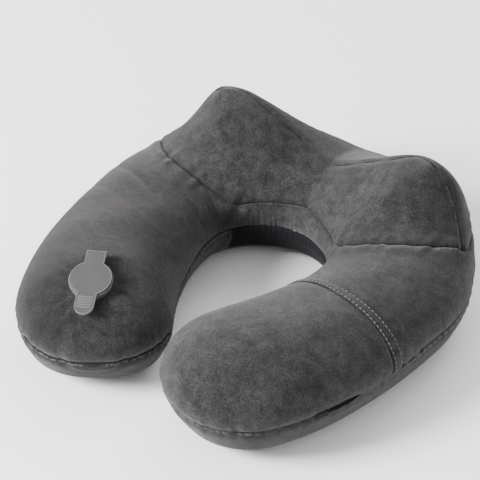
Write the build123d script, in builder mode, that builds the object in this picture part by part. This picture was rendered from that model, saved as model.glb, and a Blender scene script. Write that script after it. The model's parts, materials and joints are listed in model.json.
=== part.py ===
from build123d import *

import os
from math import atan2, copysign, cos, degrees, exp, pi, radians, sin, sqrt

# Inflatable U shaped neck pillow: an air bladder with a two-layer valve, in a removable sewn cover.
# Millimetres. The pillow lies flat on z = 0, the open end of the U points along -Y, its crest is at
# the back (+Y), and it is symmetric about x = 0 apart from the valve (left arm, -X) and the zip and
# pocket (right arm, +X). The origin is under the middle of its bounding box.
#
# A place on the U is given by s, the distance along its centreline from the middle of the back
# (positive round the right arm), and n, the distance outwards from the centreline.

# ---- driving dimensions: plan ----
CENTRE_Y = 20.3          # centre of the back's arc
BACK_RADIUS = 97.6       # centreline round the back of the neck
BACK_DEPTH = 0.9         # the whole plan is this much shallower than it is wide
ARM_RADIUS = 303.0       # centreline of an arm, which curves inwards
ARM_LENGTH = 204.7       # centreline from the end of the back's arc to the tip
BACK_HALF_WIDTH = 57.4
ARM_HALF_WIDTH = 51.0
TIP_RADIUS = 56.6        # half width at the rounded tip

# ---- driving dimensions: heights ----
WAIST_Z = 42.0           # height where the tube is widest
ARM_TOP = 71.0
TIP_TOP = 80.0
TIP_DROP = 80.0          # length over which the top falls to the tip
FLOOR_SQUASH = 3.0       # how far the tube is pressed flat on its base
SADDLE_TOP = 72.0
HUMP_TOP = 108.5
HUMP_ANGLE = 47.5        # degrees round the back from its middle
HUMP_INNER_SPREAD = 30.0
HUMP_OUTER_SPREAD = 10.2
HUMP_LEAN = 23.0         # the crest leans outwards at the humps
SADDLE_SPREAD = 28.0

# ---- driving dimensions: section shape (superellipse powers) ----
TOP_POWER = 1.9
CREST_OUTER_POWER = 1.6
CREST_INNER_POWER = 1.3
BASE_POWER = 2.6
SECTION_POINTS = 20

# ---- driving dimensions: sewn cover and bladder ----
COVER = 2.4              # velour and its backing
POCKET_LAYER = 1.2       # outer layer of the cover over the right arm, which is the pocket
FILM = 0.8               # bladder film
SEAM_Z = 34.5            # perimeter seam between the top panel and the side bands
BASE_Z = 8.0             # seam between the side bands and the base panel
BAND_S = 120.0           # end of the smooth inner band; the outer band wraps round the arm to here
HEM_S = 205.0            # pocket mouth on the right arm
HEM_WIDTH = 8.5
BAFFLE_PLACES = (0, 62, 118, 168, 222)
BAFFLE = 0.8
BAFFLE_GAP = 0.25        # weld line between a baffle's edge and the film
BAFFLE_HOLE_RADIUS = 11.0

# ---- driving dimensions: zip in the right arm's outer seam ----
ZIP_START_S = 180.0
ZIP_END_S = 279.0
ZIP_SLOT = 6.4           # height of the opening in the seam
ZIP_TAPE_HEIGHT = 13.0
COIL_HEIGHT = 1.6
COIL_DEPTH = 1.2
SLIDER_LENGTH = 9.0
SLIDER_HEIGHT = 5.4
ZIP_GAP = 0.15

# ---- driving dimensions: valve on the left arm ----
VALVE_S = -315.0
VALVE_N = 0.0
VALVE_TURN = -8.0        # degrees that the cap's length is turned from the arm's direction
VALVE_LIFT = 1.0         # valve datum above the fabric
DISC_RADIUS = 15.5
DISC = 1.4               # thickness of each of the two layers
LAYER_GAP = 0.3
STRAP_WIDTH = 13.6
STRAP_REACH = 23.8       # hinge edge from the disc's centre
TAB_REACH = 31.0
NECK_RADIUS = 12.0
NECK_BORE = 10.4
INLET_BORE = 5.5
PLUG_CLEARANCE = 0.05
BEAD_RADIUS = 0.9
BEAD_GAP = 0.15

QUARTER = BACK_RADIUS * pi / 2
HALF_LENGTH = QUARTER + ARM_LENGTH
BODY_LENGTH = HALF_LENGTH - TIP_RADIUS


def save(piece, label):
    """Label a finished sub-part and write its STEP file."""
    piece.part.label = label
    export_step(piece.part, f"parts/{label}.step")


def fade(t):
    """Smooth step from 0 to 1."""
    t = min(1.0, max(0.0, t))
    return t * t * (3 - 2 * t)


def centreline(s):
    """Point and outward direction (x, y, out_x, out_y) on the centreline; the direction isn't unit."""
    side = -1 if s < 0 else 1
    a = abs(s)
    if a < QUARTER:
        turn = a / BACK_RADIUS
        x, y = BACK_RADIUS * sin(turn), BACK_RADIUS * cos(turn)
        out_x, out_y = sin(turn), cos(turn)
    else:
        turn = (a - QUARTER) / ARM_RADIUS
        x, y = BACK_RADIUS - ARM_RADIUS + ARM_RADIUS * cos(turn), -ARM_RADIUS * sin(turn)
        out_x, out_y = cos(turn), -sin(turn)
    return side * x, CENTRE_Y + BACK_DEPTH * y, side * out_x, BACK_DEPTH * out_y


def plan_point(s, n):
    """Plan position of the place s along and n outwards."""
    x, y, out_x, out_y = centreline(s)
    return x + n * out_x, y + n * out_y


def section_plane(s):
    """Plane across the tube: its x axis points outwards, its y axis up."""
    x, y, out_x, out_y = centreline(s)
    length = sqrt(out_x**2 + out_y**2)
    out = Vector(out_x / length, out_y / length, 0)
    return Plane(origin=(x, y, 0), x_dir=out, z_dir=out.cross(Vector(0, 0, 1)))


def hump(angle):
    """1 at the hump's angle, falling slowly towards the middle and fast towards the arm."""
    away = angle - HUMP_ANGLE
    spread = HUMP_OUTER_SPREAD if away > 0 else HUMP_INNER_SPREAD
    soft = 0.02
    r = sqrt((away / spread) ** 2 + soft) - sqrt(soft)
    return exp(-(r**1.44))


def tube_shape(s, inset):
    """Half width, heights above and below the waist, lean and upper powers of the section at s."""
    a = abs(s)
    angle = degrees(a / BACK_RADIUS)
    along = fade((a - QUARTER) / (ARM_LENGTH - TIP_RADIUS))
    width = BACK_HALF_WIDTH + (ARM_HALF_WIDTH - BACK_HALF_WIDTH) * fade((a / QUARTER - 0.3) / 0.9)
    width += (TIP_RADIUS - ARM_HALF_WIDTH) * along
    bump = hump(angle)
    saddle = exp(-((angle / SADDLE_SPREAD) ** 2))
    top = ARM_TOP + (TIP_TOP - ARM_TOP) * along + (HUMP_TOP - ARM_TOP) * bump
    top += (SADDLE_TOP - ARM_TOP - (HUMP_TOP - ARM_TOP) * hump(0)) * saddle
    crest = min(1.0, bump + saddle)
    past_body = max(0.0, a - BODY_LENGTH) / (TIP_RADIUS - inset)
    past_drop = max(0.0, a - (HALF_LENGTH - TIP_DROP)) / (TIP_DROP - inset)
    round_tip = sqrt(max(0.0, 1 - past_body**2))
    round_top = sqrt(max(0.0, 1 - past_drop**2))
    return (
        (width - inset) * round_tip,
        (top - WAIST_Z - inset) * round_top,
        (WAIST_Z + FLOOR_SQUASH - inset) * round_tip,
        HUMP_LEAN * bump * (1 - saddle) * round_tip,
        TOP_POWER + (CREST_OUTER_POWER - TOP_POWER) * crest,
        TOP_POWER + (CREST_INNER_POWER - TOP_POWER) * crest,
    )


def section_point(s, inset, turn):
    """Point (n, z) of the section at s, at the angle turn anticlockwise from its outer side."""
    width, rise, drop, lean, outer, inner = tube_shape(s, inset)
    c, v = cos(turn), sin(turn)
    if v >= 0:
        power = outer if c >= 0 else inner
        up = abs(v) ** (2 / power)
        return copysign(abs(c) ** (2 / power), c) * width + lean * up**1.5, WAIST_Z + rise * up
    across = copysign(abs(c) ** (2 / BASE_POWER), c) * width
    return across, WAIST_Z - drop * abs(v) ** (2 / BASE_POWER)


def crest_stations():
    """Places of the sections from the middle of the back to the start of the right arm."""
    return [QUARTER * i / 13 for i in range(14)]


def arm_stations(inset):
    """Places of the sections along the right arm, closer together at its rounded tip."""
    arm = [QUARTER + (BODY_LENGTH - QUARTER) * i / 8 for i in range(9)]
    return arm + [BODY_LENGTH + (TIP_RADIUS - inset) * sin(radians(a)) for a in (18, 35, 50, 63, 74, 83)]


def section_outline(s, inset):
    """Points of the tube's section at s, inset from the surface, in its own plane."""
    stretch = sqrt(centreline(s)[2] ** 2 + centreline(s)[3] ** 2)
    turns = [2 * pi * i / SECTION_POINTS for i in range(SECTION_POINTS)]
    return [(n * stretch, z) for n, z in (section_point(s, inset, turn) for turn in turns)]


def tube_length(inset, places):
    """Solid of a length of the tube through the sections at the places, inset from the surface."""
    with BuildPart() as length:
        for s in places:
            with BuildSketch(section_plane(s)):
                with BuildLine():
                    Spline(*section_outline(s, inset), periodic=True)
                make_face()
        loft()
    return length.part


def tube(inset):
    """Solid of the whole U with its flat base, inset from the outer surface."""
    with BuildPart() as body:
        add(tube_length(inset, crest_stations()))
        add(tube_length(inset, arm_stations(inset)))
        mirror(about=Plane.YZ)
        split(bisect_by=Plane.XY.offset(inset), keep=Keep.TOP)
    return body.part


def prism(outline, low, high):
    """Upright solid on a closed plan outline."""
    with BuildPart() as solid:
        with BuildSketch(Plane.XY.offset(low)):
            with BuildLine():
                Polyline(*outline, close=True)
            make_face()
        extrude(amount=high - low)
    return solid.part


def circle_through(a, b, c):
    """Centre and radius of the circle through three plan points."""
    d = 2 * (a[0] * (b[1] - c[1]) + b[0] * (c[1] - a[1]) + c[0] * (a[1] - b[1]))
    aa, bb, cc = (p[0] ** 2 + p[1] ** 2 for p in (a, b, c))
    x = (aa * (b[1] - c[1]) + bb * (c[1] - a[1]) + cc * (a[1] - b[1])) / d
    y = (aa * (c[0] - b[0]) + bb * (a[0] - c[0]) + cc * (b[0] - a[0])) / d
    return x, y, sqrt((a[0] - x) ** 2 + (a[1] - y) ** 2)


os.makedirs("parts", exist_ok=True)
HIGH = HUMP_TOP + 20

# ---- regions that divide the cover, drawn in plan ----
outer_solid = tube(0)
lining_solid = tube(COVER)
gas_solid = tube(COVER + FILM)

# inside of the U: the inner side of the centreline, as far along both arms as the smooth band goes
band_stations = [s for s in crest_stations() + arm_stations(0)[1:] if s < BAND_S] + [BAND_S]
half_outline = [plan_point(s, 0) for s in band_stations] + [plan_point(BAND_S, -66)]
inner_outline = [(-x, y) for x, y in half_outline[:0:-1]] + half_outline
inner_region = prism(inner_outline, -10, HIGH)

# crest: behind a line over each arm, a little further forward on the left, and above a shallow
# cone that rises outwards
CREST_EDGE = [(0, 14), (52, 14), (62, 13.5), (73, 16), (89, 21), (103, 28), (116, 38), (127, 52), (160, 80)]
CREST_EDGE_LEFT = [(52, 14), (62, 12.5), (73, 13), (89, 15), (103, 20), (116, 29), (127, 42), (160, 70)]
crest_outline = [(x, CENTRE_Y + y) for x, y in CREST_EDGE] + [(200, 300), (-200, 300)]
crest_outline += [(-x, CENTRE_Y + y) for x, y in CREST_EDGE_LEFT[::-1]]
with BuildPart() as above_crest_seam:
    with BuildSketch(Plane.XZ.offset(-CENTRE_Y)):
        with BuildLine():
            Polyline((0, 52), (47, 52), (145, 58), (230, 68), (230, HIGH), (0, HIGH), close=True)
        make_face()
    revolve(axis=Axis((0, CENTRE_Y, 0), (0, 0, 1)))
crest_region = prism(crest_outline, 20, HIGH) & above_crest_seam.part

# back of the crest: behind the ridge that runs over both humps
RIDGE = [(0, 80), (30, 82), (54, 80), (76, 81), (95, 73), (104, 73), (112, 70.5), (120, 64), (127, 55)]
RIDGE += [(160, 40)]
ridge_outline = [(x, CENTRE_Y + y) for x, y in RIDGE] + [(200, 300)]
ridge_outline += [(-x, y) for x, y in ridge_outline[:0:-1]]
back_region = prism(ridge_outline, 20, HIGH)

# pocket: the right arm in front of the pocket mouth, and the hem strip along that mouth
hem_near = [plan_point(HEM_S, -60), plan_point(HEM_S, 90)]
hem_far = [plan_point(HEM_S + HEM_WIDTH, 90), plan_point(HEM_S + HEM_WIDTH, -60)]
hem_region = prism(hem_near + hem_far, SEAM_Z, HIGH)
round_tip = [plan_point(HALF_LENGTH + 40, 90), (0.5, -260), (0.5, hem_near[0][1])]
pocket_region = prism(hem_near + round_tip, SEAM_Z, HIGH)
pocket_floor = tube(POCKET_LAYER)

# ---- zip: a circle that follows the outer wall at the seam ----
zip_middle_s = (ZIP_START_S + ZIP_END_S) / 2
wall_points = []
seam_drop = (WAIST_Z - SEAM_Z) / (WAIST_Z + FLOOR_SQUASH)
seam_share = (1 - seam_drop**BASE_POWER) ** (1 / BASE_POWER)     # half width at the seam's height
for s in (ZIP_START_S, zip_middle_s, ZIP_END_S):
    wall_points.append(plan_point(s, tube_shape(s, 0)[0] * seam_share))
ZIP_X, ZIP_Y, WALL_RADIUS = circle_through(*wall_points)
ZIP_PLANE = Plane(origin=(ZIP_X, ZIP_Y, 0))
zip_start = degrees(atan2(wall_points[0][1] - ZIP_Y, wall_points[0][0] - ZIP_X))
zip_end = degrees(atan2(wall_points[2][1] - ZIP_Y, wall_points[2][0] - ZIP_X))
MM = degrees(1 / WALL_RADIUS)     # degrees of zip arc in a millimetre
COIL_OUTER = WALL_RADIUS - 0.3
COIL_INNER = COIL_OUTER - COIL_DEPTH


def arc_bar(inner, outer, start, end, low, high):
    """Bar bent round the zip's centre, between two angles in degrees."""
    with BuildPart() as bar:
        with BuildSketch(ZIP_PLANE.offset(low)):
            with BuildLine():
                CenterArc((0, 0), outer, start, end - start)
                CenterArc((0, 0), inner, start, end - start)
                for angle in (start, end):
                    ray = Vector(cos(radians(angle)), sin(radians(angle)), 0)
                    Line(ray * inner, ray * outer)
            make_face()
        extrude(amount=high - low)
    return bar.part


zip_low = SEAM_Z - ZIP_SLOT / 2
zip_high = SEAM_Z + ZIP_SLOT / 2
zip_slot = arc_bar(COIL_INNER, WALL_RADIUS + 8, zip_end, zip_start, zip_low, zip_high)
tape_low = SEAM_Z - ZIP_TAPE_HEIGHT / 2
tape_high = SEAM_Z + ZIP_TAPE_HEIGHT / 2
tape_zone = arc_bar(COIL_INNER - 8, COIL_INNER, zip_end - 4 * MM, zip_start + 4 * MM, tape_low, tape_high)

# ---- valve: its plane lies on the left arm's top surface ----
def top_surface(s, n):
    """Point of the cover's upper surface at the place s, n."""
    low, high = 0.0, pi
    for _ in range(40):
        turn = (low + high) / 2
        if section_point(s, 0, turn)[0] > n:
            low = turn
        else:
            high = turn
    x, y = plan_point(s, n)
    return Vector(x, y, section_point(s, 0, turn)[1])


valve_spot = top_surface(VALVE_S, VALVE_N)
reach = 14.0
along_arm = top_surface(VALVE_S - reach, VALVE_N) - top_surface(VALVE_S + reach, VALVE_N)
across_arm = top_surface(VALVE_S, VALVE_N + reach) - top_surface(VALVE_S, VALVE_N - reach)
valve_normal = along_arm.cross(across_arm).normalized()
if valve_normal.Z < 0:
    valve_normal = valve_normal * -1
valve_flat = Plane(origin=valve_spot + valve_normal * VALVE_LIFT, x_dir=along_arm, z_dir=valve_normal)
VALVE = valve_flat.rotated((0, 0, VALVE_TURN))


def valve_disc(radius, low, high):
    """Round plate or column on the valve's axis, between two heights above its datum."""
    with BuildPart() as disc:
        with BuildSketch(VALVE.offset(low)):
            Circle(radius)
        extrude(amount=high - low)
    return disc.part


def valve_spigot(low_radius, high_radius, low, high):
    """Tapered round plug on the valve's axis, so that it clears its bore as its hinge opens."""
    with BuildPart() as spigot:
        with Locations(VALVE.offset(low)):
            Cone(low_radius, high_radius, high - low, align=(Align.CENTER, Align.CENTER, Align.MIN))
    return spigot.part


def valve_bead(x, z, radius, width):
    """Round bar across the valve, on a hinge line."""
    start = VALVE.from_local_coords(Vector(x, -width / 2, z))
    with BuildPart() as bead:
        with BuildSketch(Plane(origin=start, x_dir=VALVE.x_dir, z_dir=VALVE.y_dir)):
            Circle(radius)
        extrude(amount=width)
    return bead.part


def valve_bar(x_low, x_high, width, low, high):
    """Flat strap along the valve."""
    with BuildPart() as bar:
        with BuildSketch(VALVE.offset(low)):
            with Locations(((x_low + x_high) / 2, 0)):
                Rectangle(x_high - x_low, width)
        extrude(amount=high - low)
    return bar.part


PLUG_LOW = 0.5
PLUG_HIGH = PLUG_LOW + DISC
CAP_LOW = PLUG_HIGH + LAYER_GAP
CAP_HIGH = CAP_LOW + DISC
CAP_HINGE_Z = (PLUG_HIGH + CAP_LOW) / 2
PLUG_HINGE_Z = -0.35
RING_RADIUS = 14.4

# ---- cover ----
with BuildPart() as cover_shell:
    add(outer_solid)
    add(lining_solid, mode=Mode.SUBTRACT)

with BuildPart() as lower_shell:
    add(cover_shell.part)
    split(bisect_by=Plane.XY.offset(SEAM_Z), keep=Keep.BOTTOM)

with BuildPart() as upper_shell:
    add(cover_shell.part)
    split(bisect_by=Plane.XY.offset(SEAM_Z), keep=Keep.TOP)

with BuildPart() as cover_base_panel:
    add(lower_shell.part)
    split(bisect_by=Plane.XY.offset(BASE_Z), keep=Keep.BOTTOM)

with BuildPart() as side_band:
    add(lower_shell.part)
    split(bisect_by=Plane.XY.offset(BASE_Z), keep=Keep.TOP)

with BuildPart() as cover_inner_band:
    add(side_band.part)
    add(inner_region, mode=Mode.INTERSECT)

with BuildPart() as cover_outer_band:
    add(side_band.part)
    add(inner_region, mode=Mode.SUBTRACT)
    add(zip_slot, mode=Mode.SUBTRACT)
    add(tape_zone, mode=Mode.SUBTRACT)

with BuildPart() as crest_shell:
    add(upper_shell.part)
    add(crest_region, mode=Mode.INTERSECT)

with BuildPart() as cover_crest_front:
    add(crest_shell.part)
    add(back_region, mode=Mode.SUBTRACT)

with BuildPart() as cover_crest_back:
    add(crest_shell.part)
    add(back_region, mode=Mode.INTERSECT)

with BuildPart() as pocket_layer:
    add(upper_shell.part)
    add(pocket_region, mode=Mode.INTERSECT)
    add(pocket_floor, mode=Mode.SUBTRACT)
    add(zip_slot, mode=Mode.SUBTRACT)
    add(tape_zone, mode=Mode.SUBTRACT)

with BuildPart() as pocket_hem:
    add(pocket_layer.part)
    add(hem_region, mode=Mode.INTERSECT)

with BuildPart() as pocket_panel:
    add(pocket_layer.part)
    add(hem_region, mode=Mode.SUBTRACT)

with BuildPart() as cover_top_panel:
    add(upper_shell.part)
    add(crest_region, mode=Mode.SUBTRACT)
    add(pocket_layer.part, mode=Mode.SUBTRACT)
    add(zip_slot, mode=Mode.SUBTRACT)
    add(tape_zone, mode=Mode.SUBTRACT)
    add(valve_disc(RING_RADIUS, -12, 12), mode=Mode.SUBTRACT)

with BuildPart() as valve_opening_binding:
    add(valve_disc(RING_RADIUS, -3.6, -0.95))
    add(valve_disc(NECK_RADIUS + 0.6, -6, 2), mode=Mode.SUBTRACT)

# ---- zip ----
with BuildPart() as tape_stock:
    add(cover_shell.part)
    add(tape_zone, mode=Mode.INTERSECT)

with BuildPart() as zip_tape_upper:
    add(tape_stock.part)
    split(bisect_by=Plane.XY.offset(SEAM_Z), keep=Keep.TOP)

with BuildPart() as zip_tape_lower:
    add(tape_stock.part)
    split(bisect_by=Plane.XY.offset(SEAM_Z), keep=Keep.BOTTOM)

with BuildPart() as zip_coil_upper:
    add(arc_bar(COIL_INNER, COIL_OUTER, zip_end, zip_start, SEAM_Z + 0.02, SEAM_Z + COIL_HEIGHT))

with BuildPart() as zip_coil_lower:
    add(arc_bar(COIL_INNER, COIL_OUTER, zip_end, zip_start, SEAM_Z - COIL_HEIGHT, SEAM_Z - 0.02))

slider_front = zip_end + 2.5 * MM
slider_back = slider_front + SLIDER_LENGTH * MM
slider_inner = COIL_OUTER + ZIP_GAP
slider_outer = slider_inner + 0.8
with BuildPart() as zip_slider:
    low, high = SEAM_Z - SLIDER_HEIGHT / 2, SEAM_Z + SLIDER_HEIGHT / 2
    add(arc_bar(COIL_INNER + ZIP_GAP, slider_outer, slider_front, slider_back, low, high))
    low, high = SEAM_Z - COIL_HEIGHT - ZIP_GAP, SEAM_Z + COIL_HEIGHT + ZIP_GAP
    coil_way = arc_bar(COIL_INNER - 1, slider_inner, slider_front - MM, slider_back + MM, low, high)
    add(coil_way, mode=Mode.SUBTRACT)

TAB_PIN_RADIUS = 0.45
TAB_PIN_R = slider_outer + 1.15
tab_angle = slider_back - 2.0 * MM
tab_ray = Vector(cos(radians(tab_angle)), sin(radians(tab_angle)), 0)
tab_pin_spot = Vector(ZIP_X, ZIP_Y, 0) + tab_ray * TAB_PIN_R
TAB_HALF_HEIGHT = 1.7
EAR = 0.6
tab_along = Vector(tab_ray.Y, -tab_ray.X, 0)
TAB_PLANE = Plane(origin=tab_pin_spot, x_dir=tab_along, z_dir=(0, 0, 1))

with BuildPart() as slider_bridge:
    for low in (SEAM_Z - TAB_HALF_HEIGHT - 0.1 - EAR, SEAM_Z + TAB_HALF_HEIGHT + 0.1):
        with BuildSketch(TAB_PLANE.offset(low)):
            Circle(0.8)
            with Locations((0, -0.65)):
                Rectangle(1.6, 1.3)
        extrude(amount=EAR)
    with BuildSketch(TAB_PLANE.offset(SEAM_Z - TAB_HALF_HEIGHT - 0.2)):
        Circle(TAB_PIN_RADIUS)
    extrude(amount=2 * TAB_HALF_HEIGHT + 0.4)

with BuildPart() as zip_slider_whole:
    add(zip_slider.part)
    add(slider_bridge.part)

TAB_LENGTH = 8.5
with BuildPart() as zip_pull_tab:
    with BuildSketch(TAB_PLANE.offset(SEAM_Z - TAB_HALF_HEIGHT)):
        Circle(0.9)
        with Locations((TAB_LENGTH / 2, 0.25)):
            Rectangle(TAB_LENGTH, 0.8)
        Circle(TAB_PIN_RADIUS + PLUG_CLEARANCE, mode=Mode.SUBTRACT)
    extrude(amount=2 * TAB_HALF_HEIGHT)

with BuildPart() as zip_end_stops:
    low, high = SEAM_Z - COIL_HEIGHT, SEAM_Z + COIL_HEIGHT
    for angle in (zip_end, zip_start - 2 * MM):
        add(arc_bar(COIL_OUTER, COIL_OUTER + 0.5, angle, angle + 2 * MM, low, high))

# ---- bladder ----
with BuildPart() as bladder_film:
    add(lining_solid)
    add(gas_solid, mode=Mode.SUBTRACT)

with BuildPart() as bladder_lower_film:
    add(bladder_film.part)
    split(bisect_by=Plane.XY.offset(WAIST_Z), keep=Keep.BOTTOM)

with BuildPart() as bladder_upper_film:
    add(bladder_film.part)
    split(bisect_by=Plane.XY.offset(WAIST_Z), keep=Keep.TOP)
    add(valve_disc(NECK_RADIUS, -12, 12), mode=Mode.SUBTRACT)

with BuildPart() as bladder_baffles:
    for place in BAFFLE_PLACES:
        for s in sorted({-place, place}):
            with BuildSketch(section_plane(s)):
                with BuildLine():
                    Spline(*section_outline(s, COVER + FILM + BAFFLE_GAP), periodic=True)
                make_face()
                with Locations((-17, WAIST_Z - 4), (17, WAIST_Z - 4)):
                    Circle(BAFFLE_HOLE_RADIUS, mode=Mode.SUBTRACT)
            extrude(amount=BAFFLE / 2, both=True)
    split(bisect_by=Plane.XY.offset(COVER + FILM + BAFFLE_GAP), keep=Keep.TOP)

# ---- valve ----
flange_places = [VALVE_S + step for step in (-32, -24, -16, -8, 0, 8, 16, 24, 32)]
flange_outer = tube_length(COVER + FILM + 0.15, flange_places)
flange_inner = tube_length(COVER + FILM + 1.25, flange_places)
with BuildPart() as valve_flange:
    add(valve_disc(17.5, -14, 8))
    add(flange_outer, mode=Mode.INTERSECT)
    add(flange_inner, mode=Mode.SUBTRACT)

with BuildPart() as valve_base:
    add(valve_flange.part)
    add(valve_disc(NECK_RADIUS - 0.1, -7.5, 0.2))
    add(valve_bar(-STRAP_REACH, -NECK_RADIUS + 0.5, 11.0, -0.75, 0.05))
    add(valve_disc(NECK_BORE, -14, 2), mode=Mode.SUBTRACT)
    add(valve_bead(-STRAP_REACH, PLUG_HINGE_Z, BEAD_RADIUS + BEAD_GAP, 20), mode=Mode.SUBTRACT)

with BuildPart() as valve_deflate_plug:
    add(valve_disc(DISC_RADIUS, PLUG_LOW, PLUG_HIGH))
    add(valve_bar(-STRAP_REACH, -10, STRAP_WIDTH, PLUG_LOW, PLUG_HIGH))
    add(valve_spigot(NECK_BORE - 0.4, NECK_BORE - PLUG_CLEARANCE, -4.5, PLUG_LOW))
    add(valve_disc(9.0, -6, PLUG_LOW - 0.2), mode=Mode.SUBTRACT)
    add(valve_disc(7.0, -2.6, PLUG_LOW))
    add(valve_disc(INLET_BORE, -6, 6), mode=Mode.SUBTRACT)
    add(valve_bead(-STRAP_REACH, PLUG_HINGE_Z, BEAD_RADIUS, STRAP_WIDTH))
    add(valve_bar(-STRAP_REACH - 0.7, -STRAP_REACH + 0.7, STRAP_WIDTH, PLUG_HINGE_Z + 0.3, PLUG_LOW + 0.1))
    add(valve_bead(-STRAP_REACH, CAP_HINGE_Z, BEAD_RADIUS + BEAD_GAP, 20), mode=Mode.SUBTRACT)

FLAP_HINGE_X = -7.9
FLAP_TOP = -2.75
FLAP = 0.6
with BuildPart() as valve_check_flap:
    add(valve_disc(6.9, FLAP_TOP - FLAP, FLAP_TOP))
    add(valve_bar(FLAP_HINGE_X, -5, 5.0, FLAP_TOP - FLAP, FLAP_TOP))
    add(valve_bead(FLAP_HINGE_X, FLAP_TOP - FLAP / 2, 0.45, 5.0))

with BuildPart() as valve_flap_clip:
    add(valve_bar(-9.6, FLAP_HINGE_X, 7.0, FLAP_TOP - 1.2, FLAP_TOP + 0.6))
    add(valve_bar(-12, FLAP_HINGE_X + 1, 5.2, FLAP_TOP - 0.9, FLAP_TOP + 0.3), mode=Mode.SUBTRACT)
    add(valve_disc(9.0, -8, 2), mode=Mode.INTERSECT)

GRIP_RIDGES = 5
GRIP_PITCH = 2.1
with BuildPart() as grip_ridges:
    with Locations(VALVE.offset(CAP_HIGH)):
        for i in range(GRIP_RIDGES):
            Torus(DISC_RADIUS + 1.4 + GRIP_PITCH * i, 0.4)
    add(valve_bar(DISC_RADIUS - 2, TAB_REACH, 9.6, CAP_HIGH - 1, CAP_HIGH + 1), mode=Mode.INTERSECT)

with BuildPart() as valve_cap:
    add(valve_disc(DISC_RADIUS - 0.8, CAP_LOW, CAP_HIGH))
    add(valve_bar(-STRAP_REACH, -10, STRAP_WIDTH, CAP_LOW, CAP_HIGH))
    add(valve_bar(10, TAB_REACH - STRAP_WIDTH / 2, STRAP_WIDTH, CAP_LOW, CAP_HIGH))
    with BuildSketch(VALVE.offset(CAP_LOW)):
        with Locations((TAB_REACH - STRAP_WIDTH / 2, 0)):
            Circle(STRAP_WIDTH / 2)
    extrude(amount=DISC)
    add(grip_ridges.part)
    add(valve_spigot(INLET_BORE - 0.4, INLET_BORE - PLUG_CLEARANCE, -1.6, CAP_LOW))
    add(valve_disc(3.8, -3, CAP_LOW - 0.2), mode=Mode.SUBTRACT)
    add(valve_bead(-STRAP_REACH, CAP_HINGE_Z, BEAD_RADIUS, STRAP_WIDTH))

save(cover_top_panel, "cover_top_panel")
save(cover_crest_front, "cover_crest_front")
save(cover_crest_back, "cover_crest_back")
save(cover_outer_band, "cover_outer_band")
save(cover_inner_band, "cover_inner_band")
save(cover_base_panel, "cover_base_panel")
save(pocket_panel, "pocket_panel")
save(pocket_hem, "pocket_hem")
save(valve_opening_binding, "valve_opening_binding")
save(zip_tape_upper, "zip_tape_upper")
save(zip_tape_lower, "zip_tape_lower")
save(zip_coil_upper, "zip_coil_upper")
save(zip_coil_lower, "zip_coil_lower")
save(zip_slider_whole, "zip_slider")
save(zip_pull_tab, "zip_pull_tab")
save(zip_end_stops, "zip_end_stops")
save(bladder_lower_film, "bladder_lower_film")
save(bladder_upper_film, "bladder_upper_film")
save(bladder_baffles, "bladder_baffles")
save(valve_base, "valve_base")
save(valve_deflate_plug, "valve_deflate_plug")
save(valve_check_flap, "valve_check_flap")
save(valve_flap_clip, "valve_flap_clip")
save(valve_cap, "valve_cap")

print("zip centre", ZIP_X, ZIP_Y, "travel in degrees", zip_start - zip_end)
print("tab pin", tab_pin_spot)
print("valve datum", VALVE.origin, "x", VALVE.x_dir, "y", VALVE.y_dir, "z", VALVE.z_dir)
print("plug hinge", VALVE.from_local_coords(Vector(-STRAP_REACH, 0, PLUG_HINGE_Z)))
print("cap hinge", VALVE.from_local_coords(Vector(-STRAP_REACH, 0, CAP_HINGE_Z)))
print("flap hinge", VALVE.from_local_coords(Vector(FLAP_HINGE_X, 0, FLAP_TOP - FLAP / 2)))
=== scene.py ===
import json
import math

import bmesh
import bpy
import numpy as np
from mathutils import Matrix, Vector
from mathutils.kdtree import KDTree


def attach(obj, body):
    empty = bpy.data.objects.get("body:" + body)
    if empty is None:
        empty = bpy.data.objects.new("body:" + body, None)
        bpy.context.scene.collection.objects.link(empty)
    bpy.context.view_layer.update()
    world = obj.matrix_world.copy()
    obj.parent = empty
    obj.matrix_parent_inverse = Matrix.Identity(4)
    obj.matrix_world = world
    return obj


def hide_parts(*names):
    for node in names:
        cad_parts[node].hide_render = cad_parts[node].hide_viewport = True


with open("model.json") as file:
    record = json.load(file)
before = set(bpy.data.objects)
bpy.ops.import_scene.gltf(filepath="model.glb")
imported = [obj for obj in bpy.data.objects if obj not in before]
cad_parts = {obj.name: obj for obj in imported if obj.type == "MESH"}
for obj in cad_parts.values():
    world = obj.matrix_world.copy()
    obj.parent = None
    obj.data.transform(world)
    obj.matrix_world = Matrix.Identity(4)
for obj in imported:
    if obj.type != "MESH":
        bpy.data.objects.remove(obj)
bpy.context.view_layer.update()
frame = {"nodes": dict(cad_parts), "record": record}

# The cover is one closed skin, made from the same formulas as the CAD tube, puffed up by a cloth
# simulation, cut along its seams and split into its sewn panels. Lengths here are in millimetres and
# become metres as each mesh is made. A place is given as in the CAD: s along the U from the middle of
# the back (positive round the right arm) and n outwards from the centreline.

# ---- shape of the tube, as in the CAD ----
CENTRE_Y = 20.3
BACK_RADIUS = 97.6
BACK_DEPTH = 0.9
ARM_RADIUS = 303.0
ARM_LENGTH = 204.7
BACK_HALF_WIDTH = 57.4
ARM_HALF_WIDTH = 51.0
TIP_RADIUS = 56.6
WAIST_Z = 42.0
ARM_TOP = 71.0
TIP_TOP = 80.0
TIP_DROP = 80.0
FLOOR_SQUASH = 3.0
SADDLE_TOP = 72.0
HUMP_TOP = 108.5
HUMP_ANGLE = 47.5
HUMP_INNER_SPREAD = 30.0
HUMP_OUTER_SPREAD = 10.2
HUMP_LEAN = 23.0
HUMP_SOFT = 0.02
HUMP_SHARP = 1.44
SADDLE_SPREAD = 28.0
TOP_POWER = 1.9
CREST_OUTER_POWER = 1.6
CREST_INNER_POWER = 1.3
BASE_POWER = 2.6
QUARTER = BACK_RADIUS * math.pi / 2
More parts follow.
